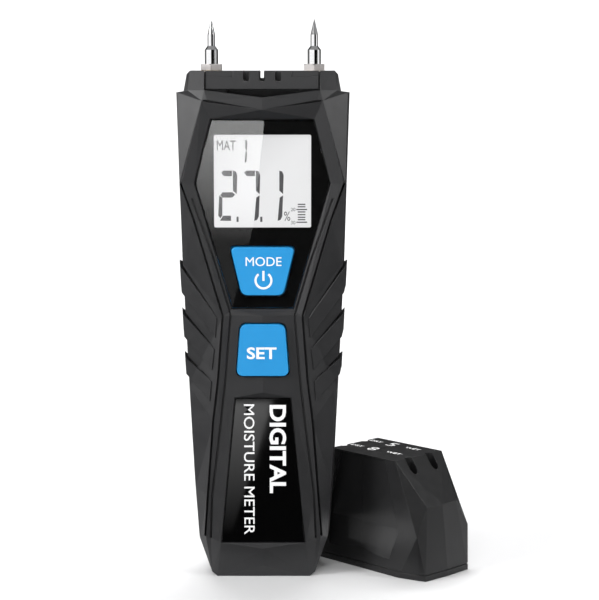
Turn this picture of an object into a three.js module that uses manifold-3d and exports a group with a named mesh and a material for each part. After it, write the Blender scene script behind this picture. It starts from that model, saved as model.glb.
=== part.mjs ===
// Pin-type moisture meter, standing on its foot, with its protective cap beside it.
// Millimetres. +Z is up, the display faces -Y, and the origin is the middle of the foot.
import * as THREE from "three";
import { mergeVertices } from "three/addons/utils/BufferGeometryUtils.js";
import Module from "manifold-3d";

const wasm = await Module();
wasm.setup();

// ---- driving dimensions ----
const GAP = 0.3; // clearance between neighbouring pieces
const SHOULDER = 143.2; // height of the shoulders that the cap sits on
const HEAD_TOP = 149.4; // top of the electrode head
const HEAD_HALF_WIDTH = 16.6; // the head block shows between the two ears
const PIN_SPACING = 30;
const PARTING = 0.6; // the plane where the two housings meet
const REAR_START = PARTING + GAP;
const BACK = 12.5; // the flat back
const WALL = 2; // housing wall
const CEILING = -8.6; // inside of the front housing, behind the display
const SCREW_POSTS = [
  [15.0, 137.4],
  [17.8, 61.5],
];
const CAP_PLACE = [37.2, 9.2]; // where the cap stands
const CAP_TURN = -45.5; // degrees about +Z
const CAP_HEIGHT = 34.6;

const plastic = (color, roughness = 0.55) => new THREE.MeshStandardMaterial({ color, roughness });
const metal = (color, roughness = 0.3) => new THREE.MeshStandardMaterial({ color, roughness, metalness: 1 });
const MATERIALS = {
  housing: plastic(0x3a3a3c),
  cap: plastic(0x2a2a2b),
  button: plastic(0x2f9fea, 0.35),
  gloss: plastic(0x050506, 0.08),
  display: plastic(0xe6e6e8, 0.4),
  diffuser: plastic(0xf4f4f0, 0.6),
  board: plastic(0x1d5a34),
  dark: plastic(0x141414),
  rubber: plastic(0x222222, 0.9),
  foam: plastic(0x3b3b3b, 0.95),
  red: plastic(0xb02020),
  resistor: plastic(0xc9b38a),
  label: plastic(0x2b4a8a),
  chrome: metal(0xd8d8da, 0.12),
  nickel: metal(0xc9c3c1, 0.35),
  brass: metal(0xc9a24a),
};

const group = new THREE.Group();

function add(name, geometry, material, parent = group) {
  const mesh = new THREE.Mesh(geometry, MATERIALS[material]);
  mesh.name = name;
  parent.add(mesh);
  return mesh;
}

// ---- booleans ----
function solid(geometry) {
  const bare = geometry.clone();
  bare.deleteAttribute("normal");
  bare.deleteAttribute("uv");
  const merged = mergeVertices(bare, 1e-4);
  const vertProperties = new Float32Array(merged.attributes.position.array);
  const triVerts = new Uint32Array(merged.index.array);
  return new wasm.Manifold(new wasm.Mesh({ numProp: 3, vertProperties, triVerts }));
}

function geometryOf(manifold) {
  const mesh = manifold.getMesh();
  const geometry = new THREE.BufferGeometry();
  geometry.setAttribute("position", new THREE.BufferAttribute(mesh.vertProperties, 3));
  geometry.setIndex(new THREE.BufferAttribute(mesh.triVerts, 1));
  geometry.computeVertexNormals();
  return geometry;
}

const join = (first, ...others) => others.reduce((sum, piece) => sum.add(piece), first);
const cut = (first, ...others) => others.reduce((rest, piece) => rest.subtract(piece), first);

// ---- shapes ----
// An outline in (x, z), extruded from y0 to y1.
function slab(outline, y0, y1) {
  const shape = new THREE.Shape(outline.map(([x, z]) => new THREE.Vector2(x, z)));
  const geometry = new THREE.ExtrudeGeometry(shape, { depth: y1 - y0, bevelEnabled: false });
  return geometry.rotateX(Math.PI / 2).translate(0, y1, 0);
}

function box(x0, x1, y0, y1, z0, z1) {
  const geometry = new THREE.BoxGeometry(x1 - x0, y1 - y0, z1 - z0);
  return geometry.translate((x0 + x1) / 2, (y0 + y1) / 2, (z0 + z1) / 2);
}

// A turned piece about +Z: a profile of [radius, z] that starts and ends on the axis.
function turned(profile, x = 0, y = 0, sides = 24) {
  const points = profile.map(([r, z]) => new THREE.Vector2(r, z));
  const geometry = new THREE.LatheGeometry(points, sides);
  return geometry.rotateX(Math.PI / 2).translate(x, y, 0);
}

function rodZ(radius, z0, z1, x = 0, y = 0, sides = 24) {
  const geometry = new THREE.CylinderGeometry(radius, radius, z1 - z0, sides);
  return geometry.rotateX(Math.PI / 2).translate(x, y, (z0 + z1) / 2);
}

function rodY(radius, y0, y1, x, z, sides = 24) {
  const geometry = new THREE.CylinderGeometry(radius, radius, y1 - y0, sides);
  return geometry.translate(x, (y0 + y1) / 2, z);
}

// The full outline from its right half, listed from the top middle down to the bottom middle.
function bothSides(half) {
  const left = half.filter(([x]) => x > 0).map(([x, ...rest]) => [-x, ...rest]);
  return [...half, ...left.reverse()];
}

function wire(points, radius) {
  const curve = new THREE.CatmullRomCurve3(points.map((point) => new THREE.Vector3(...point)));
  const ring = [...Array(8).keys()].map((i) => (i * Math.PI) / 4);
  const shape = new THREE.Shape(
    ring.map((angle) => new THREE.Vector2(radius * Math.cos(angle), radius * Math.sin(angle))),
  );
  return new THREE.ExtrudeGeometry(shape, { steps: 12, extrudePath: curve, bevelEnabled: false });
}

function meshOf(triangles) {
  const geometry = new THREE.BufferGeometry();
  geometry.setAttribute("position", new THREE.Float32BufferAttribute(triangles.flat(2), 3));
  return geometry;
}

// Fills a flat loop with triangles whose normals lie on the same side as "out".
function capOf(loop, out, flatten) {
  const contour = loop.map((point) => new THREE.Vector2(...flatten(point)));
  const faces = THREE.ShapeUtils.triangulateShape(contour, []);
  return faces.map((face) => facing(face.map((i) => loop[i]), out));
}

function facing(triangle, out) {
  const [a, b, c] = triangle.map((point) => new THREE.Vector3(...point));
  const normal = b.clone().sub(a).cross(c.clone().sub(a));
  return normal.dot(new THREE.Vector3(...out)) < 0 ? [triangle[0], triangle[2], triangle[1]] : triangle;
}

function wallsBetween(front, back) {
  return front.flatMap((point, i) => {
    const j = (i + 1) % front.length;
    return [
      [point, front[j], back[j]],
      [point, back[j], back[i]],
    ];
  });
}

const seenFromFront = ([x, , z]) => [x, z];

// Closed loops with the same number of points, stacked from the front (-Y) to the back.
function stackY(...loops) {
  const walls = loops.slice(1).flatMap((loop, i) => wallsBetween(loops[i], loop));
  const first = capOf(loops[0], [0, -1, 0], seenFromFront);
  const last = capOf(loops[loops.length - 1], [0, 1, 0], seenFromFront);
  return meshOf([...walls, ...first, ...last]);
}

// The same, stacked from the bottom to the top.
function stackZ(...loops) {
  const walls = loops.slice(1).flatMap((loop, i) => wallsBetween(loops[i], loop));
  const seenFromTop = ([x, y]) => [x, y];
  const bottom = capOf(loops[0], [0, 0, -1], seenFromTop);
  const top = capOf(loops[loops.length - 1], [0, 0, 1], seenFromTop);
  return meshOf([...walls, ...bottom, ...top]);
}

const atY = (outline, y) => bothSides(outline).map(([x, z]) => [x, y, z]);

// ---- front housing: a faceted face on a drafted side wall ----
// Corners of the right half as [x, y, z]; the left half mirrors them.
const FACE = {
  bandTop: [0, -13.0, 141.8],
  bandEnd: [HEAD_HALF_WIDTH, -11.3, 143.9],
  earIn: [HEAD_HALF_WIDTH, -10.6, HEAD_TOP],
  earOut: [20.8, -9.4, HEAD_TOP],
  earEdge: [21.8, -8.2, 148.4],
  earFoot: [22.7, -8.2, 143.6],
  earFootIn: [21.5, -9.4, 143.8],
  shoulder: [24.7, -7.0, SHOULDER],
  side1: [24.0, -10.0, 117.0],
  side2: [23.3, -8.0, 94.0],
  side3: [21.6, -7.6, 57.0],
  side4: [20.1, -7.6, 27.0],
  side5: [19.0, -7.6, 11.5],
  side6: [15.3, -8.6, 1.2],
  toe: [13.7, -9.0, 0],
  heel: [0, -9.0, 0],
  crest: [0, -13.2, 138.3],
  bandLow: [15.8, -11.9, 141.2],
  ridgeTop: [17.4, -11.5, 140.9],
  ridgeWide: [23.5, -11.2, 117.1],
  ridge1: [19.7, -11.3, 106.4],
  ridge2: [11.5, -11.9, 78.6],
  ridge3: [13.0, -11.9, 59.3],
  ridge4: [14.5, -11.7, 47.3],
  ridge5: [16.2, -11.2, 25.0],
  ridge6: [17.1, -10.4, 12.8],
  windowTop: [15.0, -10.9, 135.7],
  windowWide: [19.8, -10.9, 117.1],
  windowLow: [9.0, -10.9, 80.5],
  knee: [9.4, -11.7, 78.9],
  panelTop: [0, -12.6, 78.8],
  panel3: [11.0, -11.7, 59.6],
  panel4: [12.6, -11.6, 45.6],
  panel5: [15.1, -11.1, 25.5],
  panel6: [15.6, -10.6, 12.2],
  plateCrest: [0, -12.6, 56.2],
  plateTop: [8.25, -12.0, 54.6],
  plateLow: [12.5, -12.0, 11.0],
  chinCrest: [0, -12.4, 9.3],
  chin: [0, -11.4, 3.9],
};
// Where each corner of the rim lands on the parting plane.
const RIM = {
  bandTop: [0, 141.8],
  bandEnd: [HEAD_HALF_WIDTH, 143.9],
  earIn: [HEAD_HALF_WIDTH, HEAD_TOP],
  earOut: [21.0, HEAD_TOP],
  earEdge: [22.0, 148.3],
  earFoot: [22.9, 143.4],
  shoulder: [25.4, SHOULDER - 0.1],
  side1: [24.65, 117.0],
  side2: [24.0, 94.0],
  side3: [22.3, 57.0],
  side4: [20.8, 27.0],
  side5: [19.7, 11.5],
  side6: [16.1, 1.2],
  toe: [14.5, 0],
  heel: [0, 0],
};
const FACETS = [
  "bandTop bandEnd bandLow crest",
  "bandEnd earFootIn ridgeTop bandLow",
  "bandEnd earIn earOut earFootIn",
  "earFootIn earOut earEdge earFoot",
  "earFootIn earFoot shoulder ridgeTop",
  "ridgeTop shoulder side1 ridgeWide",
  "crest bandLow ridgeTop windowTop",
  "ridgeTop ridgeWide windowWide windowTop",
  "ridgeWide ridge1 windowWide",
  "windowWide ridge1 ridge2 windowLow",
  "ridge2 knee windowLow",
  "ridgeWide side1 ridge1",
  "ridge1 side1 side2",
  "ridge1 side2 ridge2",
  "ridge2 side2 side3",
  "ridge2 side3 ridge3",
  "ridge3 side3 ridge4",
  "ridge4 side3 side4 ridge5",
  "ridge5 side4 side5 ridge6",
  "ridge6 side5 side6",
  "ridge2 ridge3 panel3 knee",
  "ridge3 ridge4 panel4 panel3",
  "ridge4 ridge5 panel5 panel4",
  "ridge5 ridge6 panel6 panel5",
  "windowLow knee panelTop",
  "panelTop knee panel3 plateCrest",
  "panel3 panel4 plateTop plateCrest",
  "plateTop panel4 panel5 plateLow",
  "plateLow panel5 panel6",
  "panel6 ridge6 side6",
  "plateLow panel6 side6 toe",
  "chinCrest plateLow toe chin",
  "chin toe heel",
];
// Facets that lie across the middle.
const MIDDLE_FACETS = [
  ["crest", "windowTop"],
  ["panelTop", "windowLow"],
  ["plateCrest", "plateTop"],
  ["chinCrest", "plateLow"],
];

function faceTriangles(corner) {
  const mirror = ([x, y, z]) => [-x, y, z];
  const triangles = [];
  for (const facet of FACETS) {
    const points = facet.split(" ").map(corner);
    for (let i = 1; i < points.length - 1; i++) {
      const triangle = [points[0], points[i], points[i + 1]];
      triangles.push(triangle, triangle.map(mirror));
    }
  }
  for (const [tip, base] of MIDDLE_FACETS) {
    triangles.push([corner(tip), corner(base), mirror(corner(base))]);
  }
  const window = ["windowTop", "windowWide", "windowLow"].map(corner);
  triangles.push(...capOf([...window, ...window.map(mirror).reverse()], [0, -1, 0], seenFromFront));
  const platform = ["plateTop", "plateLow"].map(corner);
  triangles.push(...capOf([...platform, ...platform.map(mirror).reverse()], [0, -1, 0], seenFromFront));
  return triangles.map((triangle) => facing(triangle, [0, -1, 0]));
}

// The front shell as a closed solid, grown sideways and forward by the given amounts. The corners
// away from the ribs' outer ends grow only by the given share.
function frontForm(wider = 0, prouder = 0, share = 1) {
  const stretch = 1 + wider / 22;
  const growth = (name) => (["side1", "side2", "side3", "side4"].includes(name) ? 1 : share);
  const corner = (name) => [
    FACE[name][0] * (1 + (growth(name) * wider) / 22),
    FACE[name][1] - growth(name) * prouder,
    FACE[name][2],
  ];
  const names = Object.keys(RIM);
  const front = bothSides(names.map(corner));
  const back = atY(names.map((name) => [RIM[name][0] * stretch, RIM[name][1]]), PARTING);
  const triangles = [
    ...faceTriangles(corner),
    ...wallsBetween(front, back),
    ...capOf(back, [0, 1, 0], seenFromFront),
  ];
  return solid(meshOf(triangles));
}

// Three raised ribs on each flank, as [outer top, outer foot, inner foot, inner top] in (x, z).
// They fade into the flank at their inner ends.
const RIBS = [
  [[26, 95.6], [26, 88.2], [13.9, 72.2], [13.4, 77.9]],
  [[26, 81.6], [26, 75.4], [14.9, 62.7], [14.2, 68.8]],
  [[26, 68.5], [26, 64.7], [15.6, 53.4], [15.1, 59.3]],
];
const RIB_PROUD = 0.8;
const mirrorOutline = (outline) => outline.map(([x, z]) => [-x, z]).reverse();
const onBothSides = (outline, y0, y1) =>
  solid(slab(outline, y0, y1)).add(solid(slab(mirrorOutline(outline), y0, y1)));

// A channel of the given width along a polyline in (x, z).
function channel(line, width, y0, y1) {
  const pieces = line.slice(1).map((end, i) => {
    const start = line[i];
    const length = Math.hypot(end[0] - start[0], end[1] - start[1]);
    const along = [(end[0] - start[0]) / length, (end[1] - start[1]) / length];
    const side = [(-along[1] * width) / 2, (along[0] * width) / 2];
    const reach = width / 3;
    const corner = (point, s, e) => [
      point[0] + s * side[0] + e * reach * along[0],
      point[1] + s * side[1] + e * reach * along[1],
    ];
    return onBothSides(
      [corner(start, 1, -1), corner(start, -1, -1), corner(end, -1, 1), corner(end, 1, 1)],
      y0,
      y1,
    );
  });
  return join(...pieces);
}

const across = (...names) => names.map((name) => [FACE[name][0], FACE[name][2]]);
const RIDGE_LINE = across("ridgeWide", "ridge1", "ridge2", "ridge3", "ridge4", "ridge5", "ridge6");
const BEZEL_LINE = [[20.4, 112.6], [14.05, 94.6]];
const PANEL_LINE = [...BEZEL_LINE, ...across("knee", "panel3", "panel4", "panel5", "panel6")];

const BUTTON_GAP = 0.35;
const MODE = [[9.35, 98.7], [6.0, 84.7]]; // right-hand corners of the power/mode button
const SET = [[6.45, 76.4], [7.65, 61.2]];
// A symmetric button outline with rounded corners, grown by "more".
function buttonOutline([top, low], radius, more = 0) {
  const corners = [
    [top[0] + more, top[1] + more],
    [low[0] + more, low[1] - more],
    [-low[0] - more, low[1] - more],
    [-top[0] - more, top[1] + more],
  ].map(([x, z]) => new THREE.Vector2(x, z));
  const points = corners.flatMap((corner, i) => {
    const before = corners[(i + 3) % 4].clone().sub(corner).setLength(radius).add(corner);
    const after = corners[(i + 1) % 4].clone().sub(corner).setLength(radius).add(corner);
    return new THREE.QuadraticBezierCurve(before, corner, after).getPoints(5);
  });
  return points.map((point) => [point.x, point.y]);
}

const WINDOW = [[14.7, 135.4], [19.45, 117.1], [8.85, 80.85]];
const windowOutline = (grow) => {
  const [top, wide, low] = WINDOW;
  return bothSides([
    [top[0] + grow, top[1] + grow],
    [wide[0] + grow, wide[1]],
    [low[0] + grow, low[1] - grow],
  ]);
};
const PLATE = [[8.0, 54.3], [12.15, 11.3]];
const plateOutline = (grow) => bothSides([
  [PLATE[0][0] + grow, PLATE[0][1] + grow],
  [PLATE[1][0] + grow, PLATE[1][1] - grow],
]);

const POST_R = 2.2;
const form = frontForm();
let front = form;
for (const rib of RIBS) {
  front = front.add(onBothSides(rib, -14, PARTING).intersect(frontForm(RIB_PROUD, RIB_PROUD, 0.08)));
}
// The wedge-shaped cut along each rib's upper edge, and the two grooves that frame the ridge.
const skin = frontForm(-0.8, -0.8);
const ribLines = RIBS.map(([[x, z], , , inner]) =>
  onBothSides([[x, z], [inner[0] - 0.3, inner[1]], [x, z + 1.3]], -14, -3),
);
const ridgeLines = [
  channel(RIDGE_LINE.map(([x, z]) => [x + 0.1, z]), 0.6, -14, -5),
  channel(PANEL_LINE.map(([x, z]) => [x - 0.1, z]), 0.6, -14, -5),
];
front = cut(front, cut(join(...ribLines, ...ridgeLines), skin));
// The shadow gap under the band across the top.
front = front.subtract(onBothSides([[2.2, 138.75], [16.9, 141.15], [16.9, 140.6]], -14, -10.6));

// The hollow inside: shallow near the rim, deeper behind the display, and a seat for the head block.
const innerHalf = [
  [20.3, 141.4], [22.2, 141.0], [22.0, 117], [21.5, 94], [19.8, 57],
  [18.3, 27], [17.2, 12], [15.3, 5], [13, WALL],
];
const deepHalf = [[20.0, 140.4], [20.2, 117], [16.2, 94], [14.6, 78], [14.6, 59]];
front = cut(
  front,
  solid(slab(bothSides(innerHalf), -6.2, PARTING + 1)),
  solid(slab(bothSides(deepHalf), CEILING, PARTING + 1)),
  solid(box(-20.3, 20.3, -8.4, PARTING + 1, 140, 152)),
);
// Screw posts and the two posts that carry the main board.
const BOARD_POSTS = [[-16.0, 90.5], [16.0, 90.5]];
for (const [x, z] of SCREW_POSTS) {
  for (const side of [-1, 1]) {
    front = front.add(solid(rodY(POST_R, CEILING - 0.5, PARTING, side * x, z)).intersect(form));
    front = front.subtract(solid(rodY(1.4, -6.5, PARTING + 0.5, side * x, z)));
  }
}
for (const [x, z] of BOARD_POSTS) {
  front = front.add(solid(rodY(1.9, -9.5, -4.0, x, z)).intersect(form));
  front = front.subtract(solid(rodY(1.15, -8.0, -3.5, x, z)));
}
const LENS_FLOOR = -9.3;
front = cut(
  front,
  solid(slab(windowOutline(GAP), -14, LENS_FLOOR)),
  solid(box(-15.2, 15.2, -14, -5, 102.6, 132.4)),
  solid(slab(buttonOutline(MODE, 1.8, BUTTON_GAP), -14, -5)),
  solid(slab(buttonOutline(SET, 2.1, BUTTON_GAP), -14, -5)),
  solid(slab(plateOutline(GAP), -14, -10.8)),
);
add("front_housing", geometryOf(front), "housing");

// ---- rear housing: chamfered back, open for the battery door ----
const sides = Object.keys(RIM).slice(Object.keys(RIM).indexOf("shoulder"));
const rearRim = [[0, SHOULDER - 0.1], ...sides.map((name) => RIM[name])];
const rearWaist = rearRim.map(([x, z]) => [Math.max(0, x - 0.4), z]);
const flatBack = [
  [0, 141.4], [18.6, 141.4], [18.6, 117], [18.0, 94], [15.6, 57],
  [15.6, 27], [15.4, 11.5], [13.4, 4.3], [11.4, 1.2], [0, 1.2],
];
const rearShape = (stretch) => {
  const loops = [rearRim, rearWaist, flatBack].map((loop) => loop.map(([x, z]) => [x * stretch, z]));
  return solid(stackY(atY(loops[0], REAR_START), atY(loops[1], 3.4), atY(loops[2], BACK)));
};
const rearForm = rearShape(1);
const headRim = [[0, HEAD_TOP], [21.0, HEAD_TOP], [22.0, 148.3], [22.9, 143.4], [22.9, 141], [0, 141]];
const headBack = [[0, 149.0], [19.8, 149.0], [20.6, 148.0], [20.9, 143.4], [20.9, 141], [0, 141]];
const headForm = solid(stackY(atY(headRim, REAR_START), atY(headRim, 8.2), atY(headBack, 10.4)));
const rearInner = [
  [0, 141], [22.0, 141], [22.6, 139], [22.0, 117], [21.5, 94],
  [19.8, 57], [18.3, 27], [17.2, 12], [15.3, 5.2], [0, 5.2],
];
const rearDeep = [
  [0, 139], [17.0, 139], [16.8, 136], [16.6, 117], [16.0, 94],
  [14.6, 64], [14.6, 27], [14.4, 12], [13, 5.2], [0, 5.2],
];
let rear = join(rearForm, headForm);
// The flank ribs run on across the side and fade out on the chamfer.
for (const [i, rib] of RIBS.entries()) {
  const top = rib[0][1] + 0.6;
  const low = rib[1][1] + 0.6;
  const reach = 7.2 - i * 0.6;
  const strip = [[27, top], [27, low], [26 - reach, low - reach * 1.25], [26 - reach, top - reach * 1.25]];
  rear = rear.add(onBothSides(strip, REAR_START, BACK - 1).intersect(rearShape(1.03)));
}
rear = rear.subtract(solid(stackY(atY(rearInner, -1), atY(rearInner, 3), atY(rearDeep, 9))));
rear = rear.subtract(solid(box(-15.5, 15.5, -1, BACK - WALL, 66, 139)));
rear = rear.subtract(solid(box(-20.3, 20.3, -1, 8.4, 141.4, 152)));
const DOOR = { half: 12.4, low: 4.8, high: 60.8 };
const TRAY = { half: 12.9, front: -1.7, low: 4.9, high: 59.9 };
for (const [x, z] of SCREW_POSTS) {
  for (const side of [-1, 1]) {
    rear = rear.add(solid(rodY(3.7, REAR_START, BACK, side * x, z)).intersect(rearForm));
    rear = rear.subtract(solid(rodY(1.5, -1, 6, side * x, z)));
    rear = rear.subtract(solid(rodY(2.9, 5.3, BACK + 1, side * x, z)));
  }
}
// The battery tray, open to the back, with a hole for each lead in its upper wall.
const POCKET = { half: 11.3, front: -0.5, low: 6.3, high: 58.6 };
const LEAD_Y = 0.9;
rear = rear.add(solid(box(-TRAY.half, TRAY.half, TRAY.front, BACK - 1, TRAY.low, TRAY.high)));
rear = cut(
  rear,
  solid(box(-POCKET.half, POCKET.half, POCKET.front, BACK + 1, POCKET.low, POCKET.high)),
  solid(box(-DOOR.half - 0.4, DOOR.half + 0.4, BACK - 1.7, BACK + 1, 3.4, DOOR.high + 0.4)),
  solid(box(-0.9, 0.2, 5, 12, 147.2, 152)),
  solid(box(-3.2, 3.2, BACK - 3.1, BACK + 1, 59.4, 64.6)),
  solid(rodZ(1.0, 58, 60.5, -5.6, LEAD_Y, 16)),
  solid(rodZ(1.0, 58, 60.5, 5.6, LEAD_Y, 16)),
);
add("rear_housing", geometryOf(rear), "housing");

// ---- battery door: hinges on its bottom edge, with a flex latch at the top ----
const doorPlate = solid(box(-DOOR.half, DOOR.half, BACK - 1.4, BACK, DOOR.low, DOOR.high));
const latch = solid(box(-2.8, 2.8, BACK - 2.6, BACK - 0.6, DOOR.high - 1, DOOR.high + 2.2));
const grooves = [50, 52.2, 54.4].map((z) => solid(box(-5, 5, BACK - 0.45, BACK + 1, z, z + 1.1)));
add("battery_door", geometryOf(cut(join(doorPlate, latch), ...grooves)), "housing");

// ---- display ----
let lens = solid(slab(windowOutline(0), -10.9, LENS_FLOOR - GAP));
lens = lens.subtract(solid(slab(buttonOutline(MODE, 1.8, BUTTON_GAP), -12, -9)));
add("window_lens", geometryOf(lens), "gloss");
add("lcd_panel", box(-16.8, 16.8, -8.3, -6.3, 101, 134.6), "display");
add("backlight", box(-16.4, 16.4, -6.0, -4.0, 105.3, 134), "diffuser");
add("lcd_connector", box(-15.2, 15.2, -6.0, -4.0, 101.6, 104.8), "rubber");
add("nameplate", slab(plateOutline(0), -12, -11.1), "gloss");

// ---- main board and what is soldered to it ----
const BOARD = { front: -3.7, back: -2.1 };
const boardHalf = [[18.6, 134.8], [18.6, 97], [18.2, 78], [14, 66], [14, 60.2]];
let board = solid(slab(bothSides(boardHalf), BOARD.front, BOARD.back));
for (const [x, z] of BOARD_POSTS) {
  board = board.subtract(solid(rodY(1.3, -5, 0, x, z)));
}
add("main_board", geometryOf(board), "board");
add("control_chip", box(-6, 4, BOARD.back + GAP, BOARD.back + 1.5, 112, 122), "dark");
add("buzzer", rodY(4.5, BOARD.back + GAP, BOARD.back + 4.3, 11, 118), "dark");
for (const [i, [x, z]] of BOARD_POSTS.entries()) {
  const shank = rodY(0.85, -7.5, -1.6, x, z, 16);
  const head = rodY(2.1, -1.8, -0.6, x, z, 24);
  const slot = box(x - 1.3, x + 1.3, -1.0, 0, z - 0.25, z + 0.25);
  add(`board_screw_${i + 1}`, geometryOf(cut(join(solid(shank), solid(head)), solid(slot))), "nickel");
}

// ---- buttons, with the plungers of the switches that they press ----
const BUTTONS = [
  { name: "mode", shape: MODE, radius: 1.8, front: -12.1, z: 91.7 },
  { name: "set", shape: SET, radius: 2.1, front: -13.4, z: 68.8 },
];
for (const { name, shape, radius, front: face, z } of BUTTONS) {
  const key = solid(slab(buttonOutline(shape, radius), face, -7.9));
  const flange = solid(slab(buttonOutline(shape, radius, 1.0), CEILING + GAP, -7.3));
  add(`${name}_button`, geometryOf(join(key, flange)), "button");
  const bore = solid(rodY(1.8, -7, -4.3, 0, z));
  const body = solid(box(-3, 3, -6.2, BOARD.front - GAP, z - 3, z + 3));
  add(`${name}_switch`, geometryOf(body.subtract(bore)), "dark");
  add(`${name}_plunger`, rodY(1.4, -7.0, -4.9, 0, z), "rubber");
}

// ---- electrode head: block, brass sockets, pins and union nuts ----
const SLOT_PITCH = 4.6;
let block = solid(box(-20, 20, -8.1, 8.1, 141.8, 149.1));
block = block.add(solid(box(-16.2, 16.2, -10.6, -7.9, 144.2, HEAD_TOP)));
for (const x of [-SLOT_PITCH, 0, SLOT_PITCH]) {
  block = block.subtract(solid(box(x - 0.9, x + 0.9, -11, 5, 147.1, 150)));
  block = block.subtract(solid(rodY(0.9, -11, 5, x, 147.1, 16)));
}
block = block.subtract(solid(box(-0.9, 0.2, -9, 9, 147.1, 150)));
// The front of the block is undercut behind the gap above the housing's band.
block = block.subtract(solid(box(-10.2, 10.2, -9, -2.5, 141, 144)));
// A shallow step across the top of the face on each side of the slots.
const faceStep = [[8.4, 150], [17, 150], [17, 147.3], [16.2, 147.8], [8.9, 147.8], [8.4, 147.5]];
block = block.subtract(onBothSides(faceStep, -11, -10.3));
for (const side of [-1, 1]) {
  block = block.subtract(solid(rodZ(4.3, 142.8, 151, (side * PIN_SPACING) / 2)));
  block = block.subtract(solid(rodZ(1.4, 141, 143.5, (side * PIN_SPACING) / 2, -1)));
}
add("head_block", geometryOf(block), "housing");

const PIN_PROFILE = [
  [0, 144.6], [1.5, 144.6], [1.95, 145.2], [1.95, 155.4], [1.1, 156.5], [1.1, 159.8],
  [0.85, 160.9], [0.55, 162.2], [0.25, 163.6], [0, 164.4],
];
for (const [name, side] of [["left", -1], ["right", 1]]) {
  const x = (side * PIN_SPACING) / 2;
  const barrel = solid(rodZ(4, 143.1, 149.1, x));
  const socket = cut(barrel, solid(rodZ(3.0, 147, 150, x)), solid(rodZ(2.3, 144.1, 150, x)));
  add(`${name}_socket`, geometryOf(socket), "brass");
  add(`${name}_pin`, turned(PIN_PROFILE, x), "chrome");
  const hex = solid(rodZ(3.45, 149.4, 151.3, x, 0, 6));
  const collar = solid(turned([[0, 149], [5, 149], [2.9, 151.6], [0, 151.6]], x));
  const skirt = solid(rodZ(2.7, 147.4, 149.5, x));
  const nut = join(hex.intersect(collar), skirt).subtract(solid(rodZ(2.25, 147, 152, x)));
  add(`${name}_nut`, geometryOf(nut), "nickel");
  const inward = (step) => x - side * step;
  const lead = [
    [x, -1, 142.7], [x, -1, 141.7], [inward(1.6), -1.1, 140.6],
    [inward(3.2), -1.2, 138.5], [inward(3.6), -1.1, 131.5],
  ];
  add(`${name}_electrode_lead`, wire(lead, 0.6), side < 0 ? "red" : "dark");
}

// ---- battery: two AAA cells in the tray, with their contacts and leads ----
const CELL = { radius: 5.25, y: 5.0, low: 11.2, can: 43.7, nub: 0.8 };
const CELL_TOP = CELL.low + CELL.can + CELL.nub;
// A spring that narrows from z0 to z1.
const coil = (x, z0, z1, turns) => {
  const points = [...Array(turns * 8 + 1).keys()].map((i) => {
    const angle = (i * Math.PI) / 4;
    const share = i / (turns * 8);
    const radius = 3.4 - 1.4 * share;
    return [x + radius * Math.cos(angle), CELL.y + radius * Math.sin(angle), z0 + (z1 - z0) * share];
  });
  const curve = new THREE.CatmullRomCurve3(points.map((point) => new THREE.Vector3(...point)));
  const ring = [...Array(6).keys()].map((i) => new THREE.Vector2(
    0.32 * Math.cos((i * Math.PI) / 3),
    0.32 * Math.sin((i * Math.PI) / 3),
  ));
  const settings = { steps: turns * 12, extrudePath: curve, bevelEnabled: false };
  return solid(new THREE.ExtrudeGeometry(new THREE.Shape(ring), settings));
};
// The left cell stands nub up, the right one nub down.
for (const [name, x, up] of [["left_cell", -5.6, true], ["right_cell", 5.6, false]]) {
  const profile = [
    [0, 0], [CELL.radius - 0.5, 0], [CELL.radius, 0.5], [CELL.radius, CELL.can - 0.5],
    [CELL.radius - 0.5, CELL.can], [1.9, CELL.can], [1.9, CELL.can + CELL.nub], [0, CELL.can + CELL.nub],
  ];
  const placed = up
    ? profile.map(([r, z]) => [r, CELL.low + z])
    : profile.map(([r, z]) => [r, CELL_TOP - z]).reverse();
  add(name, turned(placed, x, CELL.y, 32), "label");
}
const bridge = join(
  solid(box(-10, 10, 1.2, 8.8, POCKET.low + GAP, POCKET.low + 0.7)),
  solid(rodZ(1.6, POCKET.low + 0.6, CELL.low - GAP, 5.6, CELL.y)),
  coil(-5.6, POCKET.low + 0.8, CELL.low - 0.65, 3),
);
add("contact_bridge", geometryOf(bridge), "nickel");
const plate = (x) => solid(box(x - 4.2, x + 4.2, 1.8, 8.2, POCKET.high - 0.7, POCKET.high - GAP));
const plus = plate(-5.6).add(solid(rodZ(1.6, CELL_TOP + GAP, POCKET.high - 0.6, -5.6, CELL.y)));
add("contact_plus", geometryOf(plus), "nickel");
const minus = plate(5.6).add(coil(5.6, POCKET.high - 0.8, CELL_TOP + 0.65, 2));
add("contact_minus", geometryOf(minus), "nickel");
for (const [colour, x, material] of [["red", -5.6, "red"], ["black", 5.6, "dark"]]) {
  const route = [[x, LEAD_Y, 58.0], [x, LEAD_Y, 60.8], [x, 0.3, 63.5], [x, -0.6, 66.5], [x, -0.9, 70]];
  add(`battery_lead_${colour}`, wire(route, 0.6), material);
}

// ---- case screws, driven from the back ----
let screwNumber = 0;
for (const [x, z] of SCREW_POSTS) {
  for (const side of [-1, 1]) {
    screwNumber += 1;
    const head = solid(rodY(2.5, 5.6, 7.4, side * x, z));
    const shank = solid(rodY(1.1, -5.5, 5.8, side * x, z, 16));
    const cross = [
      box(side * x - 1.6, side * x + 1.6, 6.5, 8, z - 0.3, z + 0.3),
      box(side * x - 0.3, side * x + 0.3, 6.5, 8, z - 1.6, z + 1.6),
    ].map(solid);
    add(`case_screw_${screwNumber}`, geometryOf(cut(join(head, shank), ...cross)), "nickel");
  }
}

// ---- protective cap: its width runs along its own X, its depth along its own Y ----
const cap = new THREE.Group();
cap.position.set(CAP_PLACE[0], CAP_PLACE[1], 0);
cap.rotation.z = THREE.MathUtils.degToRad(CAP_TURN);
group.add(cap);

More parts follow.
